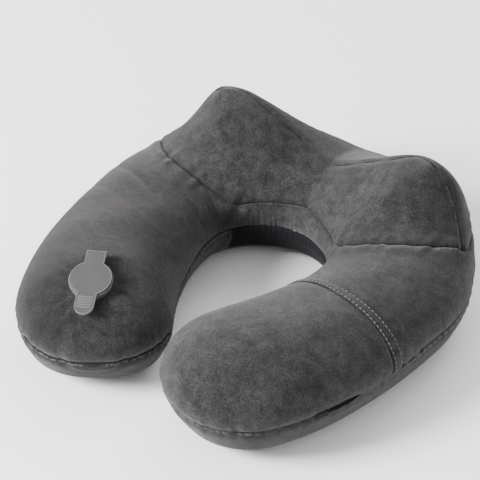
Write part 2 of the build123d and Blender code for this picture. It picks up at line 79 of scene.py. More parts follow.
HALF_LENGTH = QUARTER + ARM_LENGTH
BODY_LENGTH = HALF_LENGTH - TIP_RADIUS

# ---- seams, as in the CAD ----
SEAM_Z = 34.5
BASE_Z = 8.0
HEM_S = 205.0
HEM_WIDTH = 8.5
BAND_S = 120.0                              # end of the smooth inner band
# plan lines from the middle of the back outwards: x, and y from CENTRE_Y
CREST_EDGE = [(0, 14), (52, 14), (62, 13.5), (73, 16), (89, 21), (103, 28), (116, 38), (127, 52), (160, 80)]
CREST_EDGE_LEFT = [(52, 14), (62, 12.5), (73, 13), (89, 15), (103, 20), (116, 29), (127, 42), (160, 70)]
RIDGE = [(0, 80), (30, 82), (54, 80), (76, 81), (95, 73), (104, 73), (112, 70.5), (120, 64), (127, 55)]
CREST_CONE = [(0, 52), (47, 52), (145, 58), (230, 68)]      # radius and height of the crest's lower seam
CORNER = 9.0                                # roundness of the crest seam's corners
ZIP = (176.0, 281.0)                        # from a little before the zip to a little past it
SLIT = (243.0, 275.0)                       # where that seam stands open
SLIT_LIFT = 2.6                             # how far each side of the open seam stands off it
VALVE_REACH = 23.8                          # from the valve's hinge to its middle
VALVE_RISE = 0.35                           # from that hinge up to the valve's datum
VALVE_HOLE = 13.2                           # radius of the hole that the valve's neck stands in

# ---- making of the skin ----
ROW = 2.0        # spacing along the U
COLUMNS = 150     # points round the tube
CLOTH_ROWS = 6.5                            # the same two for the simulated cloth
CLOTH_COLUMNS = 44
CLOTH_FRAMES = 20
PRESSURE = 4.0
PUFF_CAP = 3.2                              # most that the cloth may stand out
SKIN = 1.4                                  # thickness of the skins
SNAP = 0.12                                 # a point this near a seam's line counts as on it
NEAR = 0.13                                 # a little more than SNAP
SEAM_REACH = 30.0                           # furthest that a seam shapes the cloth

# ---- seams drawn into the skin ----
DEPTH = {"perimeter": 1.2, "base": 1.2, "crest": 1.3, "ridge": 0.5}      # how far each seam is drawn in
ROLL = {"perimeter": 2.4, "base": 3.0, "crest": 2.2, "ridge": 2.0}       # width of the roll beside it
PAINTED_SEAM_SHADE = {"perimeter": 0.65, "base": 0.9, "crest": 0.95, "ridge": 0.3}   # how dark the painted shade along the seam's line is
DEEPEST = 1.9                                                            # the bladder lies under this

# ---- stitches along the pocket's hem ----
STITCH_LENGTH = 2.6
STITCH_GAP = 1.0
STITCH_RADIUS = 0.32
STITCH_INSET = 1.5                          # from each edge of the hem

MM = 0.001


def fade(t):
    """Smooth step from 0 to 1."""
    t = np.clip(t, 0.0, 1.0)
    return t * t * (3 - 2 * t)


def bell(t):
    """Smooth hump of height 1 at 0."""
    return np.exp(-np.square(t))


def centreline(s):
    """x, y, out_x, out_y on the centreline at each s."""
    side = np.where(s < 0, -1.0, 1.0)
    a = np.abs(s)
    back = a / BACK_RADIUS
    arm = (a - QUARTER) / ARM_RADIUS
    on_back = a < QUARTER
    x = np.where(on_back, BACK_RADIUS * np.sin(back), BACK_RADIUS - ARM_RADIUS + ARM_RADIUS * np.cos(arm))
    y = np.where(on_back, BACK_RADIUS * np.cos(back), -ARM_RADIUS * np.sin(arm))
    out_x = np.where(on_back, np.sin(back), np.cos(arm))
    out_y = np.where(on_back, np.cos(back), -np.sin(arm))
    return side * x, CENTRE_Y + BACK_DEPTH * y, side * out_x, BACK_DEPTH * out_y


def hump(angle):
    """Share of the hump's height at an angle in degrees from the middle of the back."""
    away = angle - HUMP_ANGLE
    spread = np.where(away > 0, HUMP_OUTER_SPREAD, HUMP_INNER_SPREAD)
    r = np.sqrt((away / spread) ** 2 + HUMP_SOFT) - math.sqrt(HUMP_SOFT)
    return np.exp(-(r**HUMP_SHARP))


def tube_point(s, turn):
    """Points (x, y, z) of the tube's surface at s, at the angle turn from its outer side."""
    a = np.abs(s)
    angle = np.degrees(a / BACK_RADIUS)
    along = fade((a - QUARTER) / (ARM_LENGTH - TIP_RADIUS))
    width = BACK_HALF_WIDTH + (ARM_HALF_WIDTH - BACK_HALF_WIDTH) * fade((a / QUARTER - 0.3) / 0.9)
    width = width + (TIP_RADIUS - ARM_HALF_WIDTH) * along
    bump = hump(angle)
    saddle = np.exp(-((angle / SADDLE_SPREAD) ** 2))
    top = ARM_TOP + (TIP_TOP - ARM_TOP) * along + (HUMP_TOP - ARM_TOP) * bump
    top = top + (SADDLE_TOP - ARM_TOP - (HUMP_TOP - ARM_TOP) * hump(np.array(0.0))) * saddle
    crest = np.minimum(1.0, bump + saddle)
    round_tip = np.sqrt(np.clip(1 - (np.maximum(0, a - BODY_LENGTH) / TIP_RADIUS) ** 2, 0, 1))
    round_top = np.sqrt(np.clip(1 - (np.maximum(0, a - (HALF_LENGTH - TIP_DROP)) / TIP_DROP) ** 2, 0, 1))
    lean = HUMP_LEAN * bump * (1 - saddle) * round_tip
    c, v = np.cos(turn), np.sin(turn)
    outer = TOP_POWER + (CREST_OUTER_POWER - TOP_POWER) * crest
    inner = TOP_POWER + (CREST_INNER_POWER - TOP_POWER) * crest
    power = np.where(v < 0, BASE_POWER, np.where(c >= 0, outer, inner))
    across = np.sign(c) * np.abs(c) ** (2 / power) * width * round_tip
    up = np.abs(v) ** (2 / power)
    n = across + np.where(v >= 0, lean * up**1.5, 0)
    rise = (top - WAIST_Z) * round_top
    drop = (WAIST_Z + FLOOR_SQUASH) * round_tip
    z = np.where(v >= 0, WAIST_Z + rise * up, np.maximum(0, WAIST_Z - drop * up))
    x, y, out_x, out_y = centreline(s)
    return np.stack([x + n * out_x, y + n * out_y, z], axis=-1)


# ---------------------------------------------------------------- meshes

def new_object(name, mesh):
    piece = bpy.data.objects.new(name, mesh)
    bpy.context.scene.collection.objects.link(piece)
    return piece


def mesh_piece(name, points, faces):
    """Smooth shaded object from points in millimetres and faces as lists of indices."""
    mesh = bpy.data.meshes.new(name)
    mesh.from_pydata([tuple(p) for p in np.asarray(points) * MM], [], [list(map(int, f)) for f in faces])
    mesh.validate()
    mesh.update()
    mesh.shade_smooth()
    return new_object(name, mesh)


def row_places(step):
    """Values of s for the rows of a skin grid; both poles are left out."""
    straight = int(round(BODY_LENGTH / step))
    half = [BODY_LENGTH * i / straight for i in range(straight + 1)]
    turns = int(round(TIP_RADIUS * math.pi / 2 / step))
    half += [BODY_LENGTH + TIP_RADIUS * math.sin(math.pi / 2 * i / turns) for i in range(1, turns)]
    return np.array([-s for s in half[:0:-1]] + half)


def skin_grid(step, columns):
    """Points [row, column, xyz] evenly spread round each section, and each row's s."""
    rows = row_places(step)
    turns = np.linspace(0, 2 * math.pi, 721)
    dense = tube_point(rows[:, None], turns[None, :])
    gap = np.linalg.norm(np.diff(dense, axis=1), axis=2)
    run = np.concatenate([np.zeros((len(rows), 1)), np.cumsum(gap, axis=1)], axis=1)
    grid = np.empty((len(rows), columns, 3))
    for i in range(len(rows)):
        want = np.linspace(0, run[i, -1], columns + 1)[:-1]
        for axis in range(3):
            grid[i, :, axis] = np.interp(want, run[i], dense[i, :, axis])
    return grid, rows


def grid_faces(rows, columns):
    """Quads of a closed grid with a pole vertex before the first row and one after the last."""

    def at(i, j):
        return i * columns + j % columns

    faces = []
    for i in range(rows - 1):
        faces += [(at(i, j), at(i, j + 1), at(i + 1, j + 1), at(i + 1, j)) for j in range(columns)]
    first, last = rows * columns, rows * columns + 1
    faces += [(first, at(0, j + 1), at(0, j)) for j in range(columns)]
    faces += [(last, at(rows - 1, j), at(rows - 1, j + 1)) for j in range(columns)]
    return faces


def poles():
    """The tube's two end points."""
    return tube_point(np.array([-HALF_LENGTH, HALF_LENGTH]), np.array([0.0, 0.0]))


def normals_of(points, faces):
    """Unit vertex normals."""
    mesh = bpy.data.meshes.new("scratch")
    mesh.from_pydata([tuple(p) for p in points], [], faces)
    mesh.update()
    out = np.empty(len(points) * 3)
    mesh.vertex_normals.foreach_get("vector", out)
    bpy.data.meshes.remove(mesh)
    return out.reshape(-1, 3)


# ---------------------------------------------------------------- seams as curves on the skin

def spread(line, step):
    """Points about step apart along a polyline."""
    line = np.asarray(line, float)
    gap = np.linalg.norm(np.diff(line, axis=0), axis=1)
    run = np.concatenate([[0], np.cumsum(gap)])
    want = np.linspace(0, run[-1], max(2, int(run[-1] / step)))
    return np.stack([np.interp(want, run, line[:, k]) for k in range(line.shape[1])], axis=1)


def edge_line(right, left):
    """A plan line over both halves of the pillow, from left to right."""
    return np.array([(-x, y) for x, y in left[::-1]] + right, float) + [0, CENTRE_Y]


def plan_y(line, x):
    """y of a plan line at x."""
    return np.interp(x, line[:, 0], line[:, 1])


CREST_LINE = edge_line(CREST_EDGE, CREST_EDGE_LEFT)
RIDGE_LINE = edge_line(RIDGE + [(160, 40)], RIDGE[1:] + [(160, 40)])


def cone_z(p):
    """Height of the crest's lower seam above the place p."""
    radius = np.hypot(p[:, 0], p[:, 1] - CENTRE_Y)
    return np.interp(radius, [c[0] for c in CREST_CONE], [c[1] for c in CREST_CONE])


def crest_field(p):
    """Positive inside the raised crest."""
    behind = p[:, 1] - plan_y(CREST_LINE, p[:, 0])
    above = p[:, 2] - cone_z(p)
    near_corner = np.clip(1 - np.abs(behind - above) / CORNER, 0, 1)
    return np.minimum(behind, above) - CORNER / 4 * near_corner**2


def ridge_field(p):
    """Positive behind the ridge seam."""
    return p[:, 1] - plan_y(RIDGE_LINE, p[:, 0])


# ---------------------------------------------------------------- cloth

def pin_seams(piece, points):
    """Vertex group that holds the seams and the part that lies on the ground."""
    crest = crest_field(points)
    seam_gap = np.minimum(np.abs(points[:, 2] - SEAM_Z), np.where(points[:, 2] > SEAM_Z, np.abs(crest), 99))
    held = np.clip(1 - seam_gap / 5.0, 0, 1)
    held[points[:, 2] < 4] = 1
    pin = piece.vertex_groups.new(name="pin")
    for index, weight in enumerate(held):
        if weight > 0.01:
            pin.add([index], float(weight), "REPLACE")


def blow_up(piece):
    """Runs the cloth under pressure, held at its pinned seams."""
    cloth = piece.modifiers.new("cloth", "CLOTH")
    cloth.settings.quality = 6
    cloth.settings.use_pressure = True
    cloth.settings.uniform_pressure_force = PRESSURE
    cloth.settings.vertex_group_mass = "pin"
    cloth.settings.tension_stiffness = 12
    cloth.settings.compression_stiffness = 12
    cloth.settings.bending_stiffness = 0.4
    cloth.settings.effector_weights.gravity = 0.0
    cloth.collision_settings.use_collision = False
    scene = bpy.context.scene
    scene.frame_start, scene.frame_end = 1, CLOTH_FRAMES
    cloth.point_cache.frame_start, cloth.point_cache.frame_end = 1, CLOTH_FRAMES
    for step in range(1, CLOTH_FRAMES + 1):
        scene.frame_set(step)


def puffed(grid):
    """How far, in millimetres, the blown up cover stands out from each point of a coarse grid."""
    count, columns = grid.shape[:2]
    points = np.concatenate([grid.reshape(-1, 3), poles()])
    faces = grid_faces(count, columns)
    piece = mesh_piece("cloth_stock", points, faces)
    pin_seams(piece, points)
    blow_up(piece)
    shaped = piece.evaluated_get(bpy.context.evaluated_depsgraph_get()).to_mesh()
    moved = np.empty(len(points) * 3)
    shaped.vertices.foreach_get("co", moved)
    moved = moved.reshape(-1, 3) / MM
    normal = normals_of(points, faces)
    out = np.clip(((moved - points) * normal).sum(axis=1), -PUFF_CAP, PUFF_CAP)
    bpy.data.objects.remove(piece)
    bpy.context.scene.frame_set(1)
    return out[: count * columns].reshape(count, columns)


def resample(coarse, coarse_rows, rows, columns):
    """Values of a coarse grid at a finer one, smoothly."""
    wrapped = np.concatenate([coarse, coarse[:, :1]], axis=1)
    at = np.linspace(0, 1, wrapped.shape[1])
    want = np.arange(columns) / columns
    across = np.stack([np.interp(want, at, line) for line in wrapped])
    fine = np.stack([np.interp(rows, coarse_rows, across[:, j]) for j in range(columns)], axis=1)
    for _ in range(4):
        fine = (fine + np.roll(fine, 1, 1) + np.roll(fine, -1, 1)) / 3
        fine[1:-1] = (fine[1:-1] + fine[:-2] + fine[2:]) / 3
    return fine


# ---------------------------------------------------------------- skin, cut along its seams

SEAMS = ("perimeter", "base", "crest", "ridge", "hem_rear", "hem_front", "valve_hole", "band_end")


def cut(bm, name, field, allowed=None):
    """Adds vertices and edges to bm where field(points, s) changes sign, and marks them by name."""
    along, mark = bm.verts.layers.float["s"], bm.verts.layers.int[name]
    verts = list(bm.verts)
    points = np.array([v.co for v in verts])
    s = np.array([v[along] for v in verts])
    value = field(points, s)
    value[np.abs(value) < SNAP] = 0.0
    usable = np.ones(len(verts), bool) if allowed is None else allowed(points, s)
    level = {v: float(f) for v, f, ok in zip(verts, value, usable) if ok}
    ends = [e for e in bm.edges if e.verts[0] in level and e.verts[1] in level]
    for edge in [e for e in ends if level[e.verts[0]] * level[e.verts[1]] < 0]:
        start, end = edge.verts
        share = level[start] / (level[start] - level[end])
        _, vert = bmesh.utils.edge_split(edge, start, share)
        level[vert] = 0.0
    for face in list(bm.faces):
        on_line = [v for v in face.verts if level.get(v) == 0.0]
        signs = {level[v] > 0 for v in face.verts if level.get(v, 0.0) != 0.0}
        if len(on_line) == 2 and len(signs) == 2:
            bmesh.utils.face_split(face, on_line[0], on_line[1])
    for vert, at in level.items():
        vert[mark] = int(at == 0.0)


def outward_place(p, s):
    """n of the points p at s."""
    x, y, out_x, out_y = centreline(s)
    return ((p[:, 0] - x) * out_x + (p[:, 1] - y) * out_y) / np.hypot(out_x, out_y)


def on_inner_wall(p, s):
    """Whether each point is between the base and the perimeter seam, on the neck's side."""
    return (p[:, 2] > BASE_Z - NEAR) & (p[:, 2] < SEAM_Z + NEAR) & (outward_place(p, s) < 0)


def uncut_skin():
    """Mesh of the whole skin, with each point's s, puff and outward normal in layers."""
    grid, rows = skin_grid(ROW, COLUMNS)
    count = len(rows)
    points = np.concatenate([grid.reshape(-1, 3), poles()])
    faces = grid_faces(count, COLUMNS)
    normal = normals_of(points, faces)
    puff = np.zeros((count, COLUMNS))
    coarse, coarse_rows = skin_grid(CLOTH_ROWS, CLOTH_COLUMNS)
    puff = resample(puffed(coarse), coarse_rows, rows, COLUMNS)
    puff = np.concatenate([puff.ravel(), [puff[0].mean(), puff[-1].mean()]])
    place = np.concatenate([np.repeat(rows, COLUMNS), [-HALF_LENGTH, HALF_LENGTH]])
    bm = bmesh.new()
    verts = [bm.verts.new(p) for p in points]
    for face in faces:
        bm.faces.new([verts[i] for i in face])
    layers = bm.verts.layers
    layers.float.new("s")
    layers.float.new("puff")
    layers.float_vector.new("out")
    for name in SEAMS:
        layers.int.new(name)
    layer_s, layer_puff, layer_normal = layers.float["s"], layers.float["puff"], layers.float_vector["out"]
    bm.verts.ensure_lookup_table()
    for v, s, d, n in zip(bm.verts, place, puff, normal):
        v[layer_s], v[layer_puff], v[layer_normal] = float(s), float(d), Vector(n)
    return bm


def cut_seams(bm):
    """Cuts the skin along every seam and round the valve's hole."""
    cut(bm, "perimeter", lambda p, s: p[:, 2] - SEAM_Z)
    cut(bm, "base", lambda p, s: p[:, 2] - BASE_Z)
    cut(bm, "band_end", lambda p, s: np.abs(s) - BAND_S, on_inner_wall)
    cut(bm, "crest", lambda p, s: crest_field(p))
    cut(bm, "ridge", lambda p, s: ridge_field(p), lambda p, s: crest_field(p) > -NEAR)
    cut(bm, "valve_hole", lambda p, s: valve_field(p))
    for name, line_s in (("hem_rear", HEM_S), ("hem_front", HEM_S + HEM_WIDTH)):
        cut(bm, name, lambda p, s, at=line_s: s - at, lambda p, s: p[:, 2] > SEAM_Z - NEAR)


def build_skin():
    """The cut skin: rest points, s, puff, outward normals, faces and the points on each seam."""
    bm = uncut_skin()
    cut_seams(bm)
    bm.verts.index_update()
    layers = bm.verts.layers
    layer_s, layer_puff, layer_normal = layers.float["s"], layers.float["puff"], layers.float_vector["out"]
    rest = np.array([v.co for v in bm.verts])
    s = np.array([v[layer_s] for v in bm.verts])
    puff = np.array([v[layer_puff] for v in bm.verts])
    normal = np.array([v[layer_normal] for v in bm.verts])
    normal /= np.linalg.norm(normal, axis=1)[:, None]
    on_seam = {name: np.array([v[layers.int[name]] for v in bm.verts]) > 0 for name in SEAMS}
    faces = [[v.index for v in f.verts] for f in bm.faces]
    bm.free()
    return rest, s, puff, normal, faces, on_seam


# ---------------------------------------------------------------- valve frame

def joint(name):
    """The record's joint of that name."""
    return next(j for j in frame["record"]["behaviour"]["joints"] if j["name"] == name)


def valve_frame():
    """Valve's axes and datum from its two hinges: x towards the tab, z out of the fabric."""
    plug, cap = joint("deflate_plug_hinge"), joint("inflate_cap_hinge")
    y = -np.array(plug["axis"])
    low, high = np.array(plug["pos_m"]) / MM, np.array(cap["pos_m"]) / MM
    z = high - low
    z = z - y * z.dot(y)
    z /= np.linalg.norm(z)
    x = np.cross(y, z)
    return low + x * VALVE_REACH + z * VALVE_RISE, x, y, z


VALVE, VALVE_X, VALVE_Y, VALVE_Z = valve_frame()


def valve_local(p):
    """Places of the points p along the valve's axes."""
    away = p - VALVE
    return away @ VALVE_X, away @ VALVE_Y, away @ VALVE_Z


def valve_field(p):
    """Positive outside the hole that the valve's neck stands in."""
    x, y, z = valve_local(p)
    return np.where(np.abs(z) < 12, np.hypot(x, y) - VALVE_HOLE, 9.0)


# ---------------------------------------------------------------- cloth detail

def tree_of(points):
    """Search tree over points."""
    tree = KDTree(len(points))
    for i, p in enumerate(points):
        tree.insert(Vector(p), i)
    tree.balance()
    return tree


def distance_to(rest, line_points, reach):
    """Distance of each skin point from the nearest of the line's points, worked out only within reach."""
    tree = tree_of(line_points)
    far = np.full(len(rest), reach * 3.0)
    low, high = line_points.min(axis=0) - reach, line_points.max(axis=0) + reach
    near = np.all((rest > low) & (rest < high), axis=1)
    for i in np.nonzero(near)[0]:
        far[i] = tree.find(Vector(rest[i]))[2]
    return far


def wave(t, seed):
    """Smooth uneven wave of t, about -1 to 1, the same for the same seed."""
    out = np.zeros_like(t, dtype=float)
    for k in range(3):
        a = 1.0 + 0.9 * k + 0.37 * seed
        out += np.sin(t * a + 1.7 * seed + 2.1 * k) / (1 + 0.5 * k)
    return out / 2.1


def seam_relief(gap, over_zip):
    """The skin drawn in along its seams with a soft roll beside each. The zip's stretch stays flat."""
    out = 0.0
    for name in DEPTH:
        closed = 1 - 0.95 * over_zip if name == "perimeter" else 1.0
        out = out - DEPTH[name] * closed * np.exp(-((gap[name] / ROLL[name]) ** 1.2))
        out = out + 0.7 * bell((gap[name] - 2.1 * ROLL[name]) / 5.0)
    return out


def puckers(x, y, z, s, gap):
    """Gathers that run off the seams, strongest round the arm tips."""
    tip = fade((np.abs(s) - 250) / 60)
    broad = (0.35 + 0.75 * tip) * wave(s * 0.52, 2) + 0.5 * wave(s * 0.21, 5)
    fine = wave(s * 0.95, 7) * (0.25 + 0.75 * tip)
    out = 0.6 * broad * bell((gap["perimeter"] - 3.5) / 6.5)
    out += 0.42 * fine * bell((gap["perimeter"] - 2.5) / 4.5) * (0.6 + 0.4 * np.sign(SEAM_Z - z))
    out += 0.8 * wave(x / 4.4, 3) * bell((gap["crest"] - 3) / 6.0) * (np.abs(x) > 30)
    out += 0.5 * wave(np.hypot(x, y) * 0.3, 4) * bell(gap["ridge"] / 5.0)
    return out


def arm_folds(x, z, s):
    """Soft folds on the left arm beside the crest."""
    region = bell((s + 158) / 34) * fade((z - 44) / 18)
    return -1.5 * region * np.exp(-3.0 * np.abs(np.sin((s + 0.55 * x) / 9.0)))


def slow_lumps(x, y, z):
    """Slow unevenness of the blown up body."""
    lumps = np.sin(x / 21 + 1.3) * np.sin(y / 25 + 0.4) + 0.6 * np.sin(x / 11 - y / 14) * np.sin(z / 13 + 2)
    return 0.55 * lumps * fade(z / 12)


def valve_dimple(rest):
    """The dimple that the valve presses, and the puckers round it."""
    x, y, z = valve_local(rest)
    radius = np.hypot(x, y)
    out = 0.5 * wave(np.arctan2(y, x) * 4.0, 8) * bell((radius - 24) / 7.0)
    out -= 1.1 * bell((radius - 15) / 7.0)
    return np.where(np.abs(z) < 14, out, 0)


def crease_shade(z, s, gap):
    """Painted shade of each point: 1 deep in a seam or at a hem edge, 0.5 on plain cloth, 0 on the lighter
    thread under the perimeter.
    """
    # Painted shade: darker colour along each seam and along the hem's two edges, where the cloth steps.
    crease = sum(PAINTED_SEAM_SHADE[name] * np.exp(-((gap[name] / 1.1) ** 2)) for name in DEPTH)
    for line in (HEM_S, HEM_S + HEM_WIDTH):
        crease = crease + 0.7 * (z > SEAM_Z) * np.exp(-(((s - line) / 0.8) ** 2))
    thread_line = bell((gap["perimeter"] - 1.9) / 0.55) * (z < SEAM_Z) * (np.sin(s * 2.1) > -0.5)
    return np.clip(0.5 + crease / 2 - 0.3 * thread_line, 0, 1)


def shape_skin(rest, s, puff, normal, on_seam):
    """Final points of the skin in millimetres, and the crease shade of each."""
    x, y, z = rest.T
    gap = {name: distance_to(rest, rest[on_seam[name]], SEAM_REACH) for name in DEPTH}
    outer = outward_place(rest, s) > 0
    over_zip = outer * fade((s - ZIP[0]) / 10) * fade((ZIP[1] - s) / 10)
    out = puff + seam_relief(gap, over_zip) + puckers(x, y, z, s, gap) + arm_folds(x, z, s)
    out += slow_lumps(x, y, z) + pocket_layers(x, z, s) + valve_dimple(rest)
    points = rest + normal * np.maximum(out, -DEEPEST)[:, None]
    points[:, 2] = np.where(z < 0.05, z, np.maximum(points[:, 2], 0.0))
    return points, crease_shade(z, s, gap)


def pocket_layers(x, z, s):
    """Height of the pocket's cloth and its hem over the right arm, and the steps at their edges."""
    above = z > SEAM_Z - 0.1
    ahead, past = s - HEM_S, s - HEM_S - HEM_WIDTH
    on_pocket, on_hem = above & (ahead >= -0.01), above & (ahead >= -0.01) & (past <= 0.01)
    out = np.where(on_pocket, 0.7, 0.0)
    crown = np.sin(math.pi * np.clip(ahead / HEM_WIDTH, 0, 1)) ** 0.5
    out += np.where(on_hem, 0.3 * crown + 0.2 * wave(x / 3.1, 6), 0)
    out -= np.where(above & (past > 0), 0.35 * np.exp(-np.clip(past, 0, 50) / 2.0), 0)
    out -= np.where(above & (ahead < 0) & (s > 150), 0.3 * np.exp(np.clip(ahead, -50, 0) / 2.0), 0)
    return out


def open_slit(points, rest, s, side):
    """Moves one side of the outer seam away from it where the zip stands open."""
    middle, half = (SLIT[0] + SLIT[1]) / 2, (SLIT[1] - SLIT[0]) / 2
    lens = np.sqrt(np.clip(1 - ((s - middle) / half) ** 2, 0, 1))
    fall = np.exp(-np.abs(rest[:, 2] - SEAM_Z) / 5.0)
    moved = points.copy()
    moved[:, 2] += side * np.where((outward_place(rest, s) > 20) & (s > 0), SLIT_LIFT * lens * fall, 0)
    return moved


def left_arm_painted_shade(rest):
    """Painted shade on the pile: the colour is darkened over the left arm, standing in for shade that the
    lamps don't give it.
    """
    return 1 - 0.52 * fade((-rest[:, 0] - 10) / 70) * fade((55 - rest[:, 1]) / 90)


def panel(name, node, points, faces, shades):
    """One sewn panel, with thickness, that stands for a CAD node."""
    used = np.unique(np.concatenate([np.array(f) for f in faces]))
    new_index = {int(old): i for i, old in enumerate(used)}
    piece = mesh_piece(name, points[used], [[new_index[i] for i in f] for f in faces])
    for label, values in shades.items():
        shade = piece.data.attributes.new(label, "FLOAT", "POINT")
        shade.data.foreach_set("value", values[used].astype(np.float32))
    solid = piece.modifiers.new("thickness", "SOLIDIFY")
    solid.thickness = SKIN * MM
    solid.offset = -1.0
    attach(piece, "pillow")
    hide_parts(node)
    return piece


def panel_names(rest, s, faces):
    """The CAD node that each face of the skin stands for, or none in the valve's hole."""
    flat = np.concatenate([np.array(f) for f in faces])
    counts = np.array([len(f) for f in faces])
    starts = np.concatenate([[0], np.cumsum(counts)[:-1]])
    centre = np.add.reduceat(rest[flat], starts, axis=0) / counts[:, None]
    along = np.add.reduceat(s[flat], starts) / counts
    low = centre[:, 2] < SEAM_Z
    region = np.full(len(faces), "cover_top_panel", dtype=object)
    region[along > HEM_S] = "pocket_hem"
    region[along > HEM_S + HEM_WIDTH] = "pocket_panel"
    region[crest_field(centre) > 0] = "cover_crest_front"
    region[(crest_field(centre) > 0) & (ridge_field(centre) > 0)] = "cover_crest_back"
    inner = (outward_place(centre, along) < 0) & (np.abs(along) < BAND_S)
    region[low] = np.where(inner[low], "cover_inner_band", "cover_outer_band")
    region[centre[:, 2] < BASE_Z] = "cover_base_panel"
    region[valve_field(centre) < 0] = "none"
    return region


def panels(rest, s, points, faces, crease):
    """Splits the skin into its sewn panels. Returns them by CAD node name."""
    region = panel_names(rest, s, faces)
    upper, lower = open_slit(points, rest, s, 1), open_slit(points, rest, s, -1)
    # Painted shade rides on the panels as attributes: one in the seams, one over the left arm.
    shades = {"crease": crease, "left_arm_shade": left_arm_painted_shade(rest)}
    made = {}
    for name in sorted(set(region) - {"none"}):
        chosen = [faces[i] for i in np.nonzero(region == name)[0]]
        below = name in ("cover_outer_band", "cover_inner_band", "cover_base_panel")
        moved = lower if below else upper
        made[name] = panel("skin_" + name.replace("cover_", ""), name, moved, chosen, shades)
    return made


# ---------------------------------------------------------------- stitches

def stitch_rings(path, sides):
    """Points of one raised loop of thread along a path of points and outward directions."""
    run = np.gradient(path[:, :3], axis=0)
    points = []
    for i, (row, tangent) in enumerate(zip(path, run)):
        share = i / (len(path) - 1)
        bow = math.sin(math.pi * share)
        out = row[3:] / np.linalg.norm(row[3:])
        across = np.cross(tangent / np.linalg.norm(tangent), out)
        centre = row[:3] + out * (0.35 * bow + 0.05)
        r = STITCH_RADIUS * (0.35 + 0.65 * bow**0.5)
        for k in range(sides):
            turn = 2 * math.pi * k / sides
            points.append(centre + (across * math.cos(turn) + out * math.sin(turn)) * r)
    return points


def tube_faces(base, rings, sides):
    """Faces of a closed tube whose points start at the index base."""
    faces = []
    for i in range(rings - 1):
        for k in range(sides):
            a, b = base + i * sides + k, base + i * sides + (k + 1) % sides
            faces.append((a, b, b + sides, a + sides))
    faces.append([base + k for k in range(sides)][::-1])
    faces.append([base + (rings - 1) * sides + k for k in range(sides)])
    return faces


def stitch_row(name, line, outward):
    """Row of stitches along a line of points."""
    step, sides = 0.25, 6
    path = spread(np.concatenate([line, outward], axis=1), step)
    pitch = int((STITCH_LENGTH + STITCH_GAP) / step)
    reach = int(STITCH_LENGTH / step)
    points, faces = [], []
    for start in range(0, len(path) - reach, pitch):
        stitch = path[start : start + reach + 1 : 2]
        faces += tube_faces(len(points), len(stitch), sides)
        points += stitch_rings(stitch, sides)
    piece = mesh_piece(name, points, faces)
    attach(piece, "pillow")
    return piece


def seam_thread(name, s_line, tree, points, normal):
    """Row of stitches over the right arm at one place along it, as far down as the perimeter seam."""
    tube = tube_point(np.full(361, s_line), np.linspace(-0.06, math.pi + 0.06, 361))
    tube = tube[tube[:, 2] > SEAM_Z + 1]
    index = [tree.find(Vector(p))[1] for p in tube]
    line, out = points[index], normal[index]
    for _ in range(6):
        line[1:-1] = (line[:-2] + 2 * line[1:-1] + line[2:]) / 4
    return stitch_row(name, line, out)


# ---------------------------------------------------------------- materials

def material(name, colour, roughness):
    """New material, its node tree and its shader."""
    made = bpy.data.materials.new(name)
    made.use_nodes = True
    shader = made.node_tree.nodes["Principled BSDF"]
    shader.inputs["Base Color"].default_value = (*colour, 1)
    shader.inputs["Roughness"].default_value = roughness
    return made, made.node_tree, shader


def node(tree, kind, **values):
    """New shader node with its inputs or settings filled in."""
    made = tree.nodes.new(kind)
    for key, value in values.items():
        if key in made.inputs:
            made.inputs[key].default_value = value
        else:
            setattr(made, key, value)
    return made


def noise(tree, scale, detail, rough, distortion=0.0):
    """Solid noise in the piece's own space; a scale of 100 has grains of about a centimetre."""
    where = next((n for n in tree.nodes if n.type == "TEX_COORD"), None)
    where = where or tree.nodes.new("ShaderNodeTexCoord")
    values = {"Scale": scale, "Detail": detail, "Roughness": rough, "Distortion": distortion}
    made = node(tree, "ShaderNodeTexNoise", **values)
    tree.links.new(where.outputs["Object"], made.inputs["Vector"])
    return made.outputs["Fac"]


def ramp(tree, source, stops):
    """Colour of a value between the stops."""
    made = tree.nodes.new("ShaderNodeValToRGB")
    while len(made.color_ramp.elements) < len(stops):
        made.color_ramp.elements.new(0.5)
    for element, (at, colour) in zip(made.color_ramp.elements, stops):
        element.position = at
        element.color = (*colour, 1)
    tree.links.new(source, made.inputs["Fac"])
    return made.outputs["Color"]


def grey(value):
    """Neutral colour of one brightness."""
    return (value, value, value)


def mix(tree, kind, share, a, b):
    """Blend of two colours, each a socket or a value."""
    made = tree.nodes.new("ShaderNodeMix")
    made.data_type, made.blend_type = "RGBA", kind
    for socket, value in (("Factor", share), ("A", a), ("B", b)):
        target = next(i for i in made.inputs if i.name == socket and i.enabled and i.type != "VECTOR")
        if isinstance(value, bpy.types.NodeSocket):
            tree.links.new(value, target)
        elif socket == "Factor":
            target.default_value = value
        else:
            target.default_value = (*value, 1)
    return next(o for o in made.outputs if o.type == "RGBA" and o.enabled)


def bump(tree, shader, height, strength, distance, under=None):
    """Relief on the shader's normal, over another one if given."""
    made = node(tree, "ShaderNodeBump", Strength=strength, Distance=distance)
    tree.links.new(height, made.inputs["Height"])
    if under is not None:
        tree.links.new(under, made.inputs["Normal"])
    tree.links.new(made.outputs["Normal"], shader.inputs["Normal"])
    return made.outputs["Normal"]


